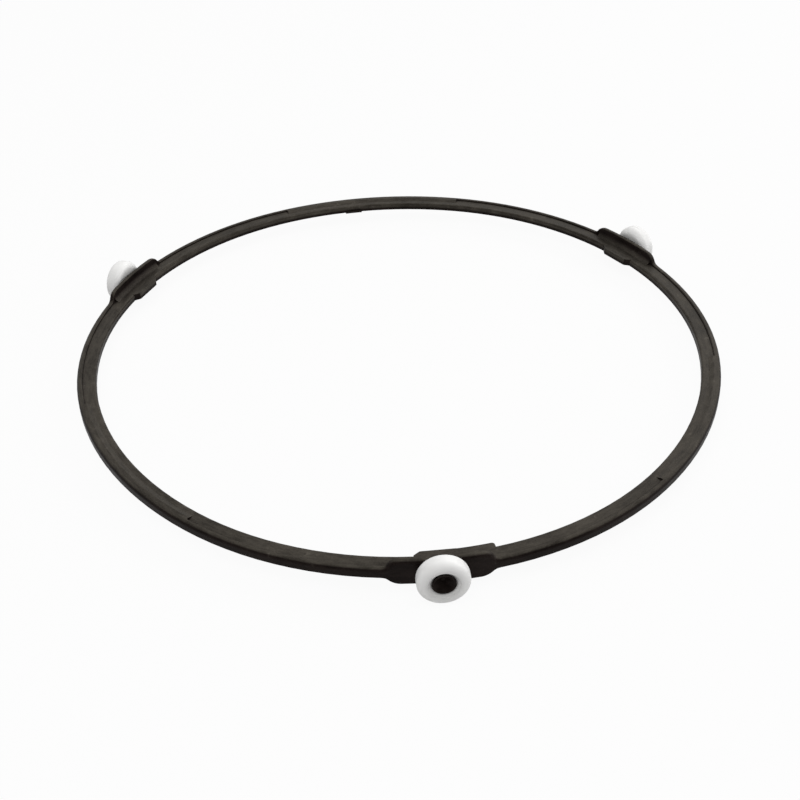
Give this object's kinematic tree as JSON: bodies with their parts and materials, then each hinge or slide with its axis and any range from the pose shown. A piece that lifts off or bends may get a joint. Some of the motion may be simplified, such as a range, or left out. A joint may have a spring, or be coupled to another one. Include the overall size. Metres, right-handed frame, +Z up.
{
  "type": "microwave roller ring",
  "caption": "Dark moulded plastic ring that carries a microwave oven's glass plate on white rollers, each turning on a stub axle with a flared, dished end.",
  "frame": {"origin": "the point of the oven floor under the ring's turning axis, level with the rollers' lowest points", "axes": "+Z up along the turning axis; -Y outwards through the front roller; +X to the right seen from there"},
  "size_m": [0.2004, 0.2057, 0.014],
  "materials": {
    "ring_plastic": "satin",
    "roller_plastic": "satin"
  },
  "bodies": {
    "ring": {"ring_frame": "ring_plastic"},
    "roller_front_body": {"roller_front": "roller_plastic"},
    "roller_rear_right_body": {"roller_rear_right": "roller_plastic"},
    "roller_rear_left_body": {"roller_rear_left": "roller_plastic"}
  },
  "joints": [
    {"name": "front_roller_spin", "type": "hinge", "parent": "ring", "child": "roller_front_body", "pos_m": [0, -0.10365, 0.007], "axis": [0, -1, 0], "continuous": true},
    {"name": "rear_right_roller_spin", "type": "hinge", "parent": "ring", "child": "roller_rear_right_body", "pos_m": [0.08976, 0.05183, 0.007], "axis": [0.866, 0.5, 0], "continuous": true},
    {"name": "rear_left_roller_spin", "type": "hinge", "parent": "ring", "child": "roller_rear_left_body", "pos_m": [-0.08976, 0.05183, 0.007], "axis": [-0.866, 0.5, 0], "continuous": true}
  ]
}
